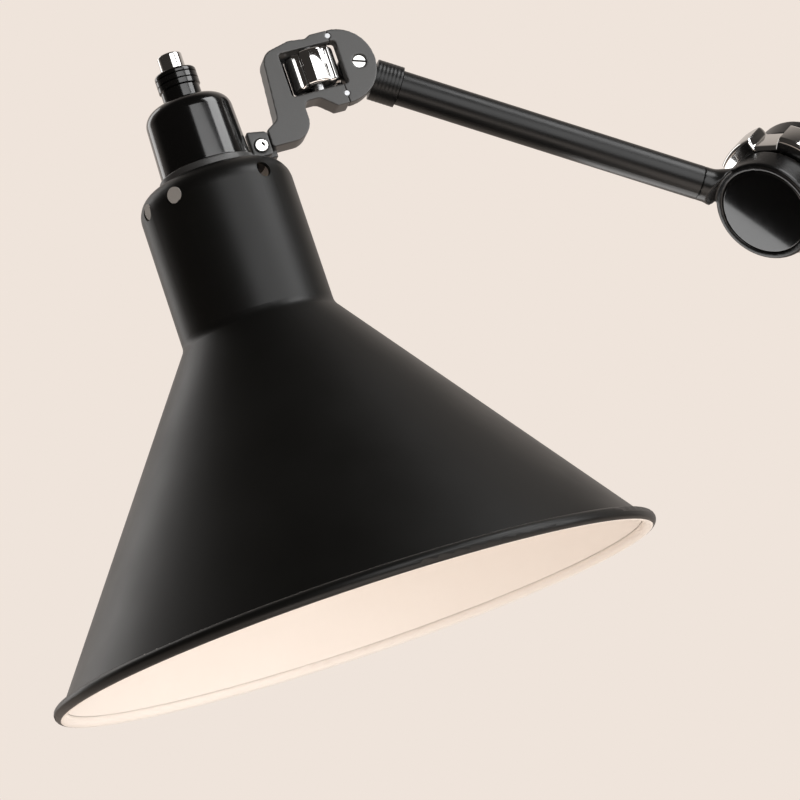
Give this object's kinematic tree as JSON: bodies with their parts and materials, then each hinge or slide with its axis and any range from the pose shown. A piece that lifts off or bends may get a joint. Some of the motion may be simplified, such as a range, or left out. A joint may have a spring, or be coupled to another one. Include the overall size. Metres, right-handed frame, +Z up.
{
  "type": "articulating wall lamp",
  "caption": "Wall lamp with two jointed tube arms, lobed hand wheels, a cast head bracket, a push-button lampholder and a wide conical shade.",
  "frame": {"origin": "centre of the wall plate's back face, on the wall plane", "axes": "+Z up, +Y into the wall, the room at -Y, +X to the right for someone who faces the wall"},
  "size_m": [0.4739, 0.3267, 0.285],
  "materials": {
    "black_satin": "satin",
    "black_gloss": "gloss",
    "shade_paint": "matte",
    "bracket_cast": "satin",
    "chrome": "polished",
    "steel": "satin",
    "brass": "satin",
    "insulator": "matte",
    "opal_glass": "satin"
  },
  "bodies": {
    "wall_mount": {"wall_plate": "black_satin", "wall_post": "black_satin", "post_screw": "steel", "swivel_pin": "chrome", "swivel_nut": "steel", "swivel_washer_top": "steel", "swivel_washer_bottom": "steel"},
    "swivel_knuckle": {"base_knuckle": "black_satin", "shoulder_bolt": "steel", "shoulder_cap_back": "black_gloss"},
    "shoulder_handwheel": {"shoulder_wheel": "chrome"},
    "shoulder_root": {"shoulder_eye": "black_satin", "shoulder_washer": "steel", "shoulder_cap_front": "black_gloss"},
    "lower_arm": {"lower_collar": "black_satin", "lower_tube": "black_satin", "elbow_rear_eye": "black_satin", "elbow_bolt": "steel", "elbow_cap_back": "black_gloss"},
    "elbow_handwheel": {"elbow_wheel": "chrome"},
    "upper_arm": {"elbow_front_eye": "black_satin", "elbow_washer": "steel", "elbow_cap_front": "black_gloss", "upper_tube": "black_satin"},
    "head_pivot": {"head_fitting": "black_satin", "head_collar": "black_satin"},
    "lamp_head": {"head_bracket": "bracket_cast", "bracket_end": "bracket_cast", "pivot_screw": "chrome", "pivot_nut": "steel", "key_pin_upper": "steel", "key_pin_lower": "steel", "thumb_stud": "steel", "holder_flange": "shade_paint", "lug_screw": "chrome", "holder_housing": "black_gloss", "switch_body": "black_gloss", "button_spring": "steel", "holder_insulator": "insulator", "screw_shell": "brass", "centre_contact": "brass", "shade": "shade_paint", "shade_ring": "shade_paint", "bulb_glass": "opal_glass", "bulb_cap": "brass"},
    "thumb_handwheel": {"thumb_wheel": "chrome"},
    "switch_button": {"push_button": "chrome"}
  },
  "joints": [
    {"name": "swivel", "type": "hinge", "parent": "wall_mount", "child": "swivel_knuckle", "pos_m": [0, -0.052, 0], "axis": [0, 0, 1], "range_deg": [-15, 150]},
    {"name": "shoulder_wheel_turn", "type": "hinge", "parent": "swivel_knuckle", "child": "shoulder_handwheel", "pos_m": [-0.0402, -0.07715, 0], "axis": [0.309, -0.9511, 0], "range_deg": [-180, 180]},
    {"name": "shoulder_tilt", "type": "hinge", "parent": "swivel_knuckle", "child": "shoulder_root", "pos_m": [-0.03632, -0.08909, 0], "axis": [-0.309, 0.9511, 0], "range_deg": [-95, 45]},
    {"name": "lower_arm_roll", "type": "hinge", "parent": "shoulder_root", "child": "lower_arm", "pos_m": [-0.06453, -0.09826, 0.04025], "axis": [-0.5644, -0.1834, 0.8049], "range_deg": [-30, 150]},
    {"name": "elbow_wheel_turn", "type": "hinge", "parent": "lower_arm", "child": "elbow_handwheel", "pos_m": [-0.17752, -0.14114, 0.18731], "axis": [-0.5005, -0.6994, -0.5103], "range_deg": [-180, 180]},
    {"name": "elbow_bend", "type": "hinge", "parent": "lower_arm", "child": "upper_arm", "pos_m": [-0.1838, -0.14992, 0.1809], "axis": [-0.5005, -0.6994, -0.5103], "range_deg": [-60, 60]},
    {"name": "head_roll", "type": "hinge", "parent": "upper_arm", "child": "head_pivot", "pos_m": [-0.33202, -0.16846, 0.22588], "axis": [-0.9501, -0.1189, 0.2883], "range_deg": [-90, 90]},
    {"name": "head_tilt", "type": "hinge", "parent": "head_pivot", "child": "lamp_head", "pos_m": [-0.33048, -0.17607, 0.22781], "axis": [0.1922, -0.9512, 0.2412], "range_deg": [-60, 30]},
    {"name": "thumb_wheel_turn", "type": "hinge", "parent": "lamp_head", "child": "thumb_handwheel", "pos_m": [-0.34572, -0.17988, 0.22493], "axis": [-0.318, 0.1722, 0.9323], "range_deg": [-180, 180]},
    {"name": "switch_press", "type": "slide", "parent": "lamp_head", "child": "switch_button", "axis": [0.318, -0.1722, -0.9323], "range_m": [0, 0.002], "stiffness_N_per_m": 600, "springref_m": -0.002, "deforming": ["button_spring"]}
  ]
}
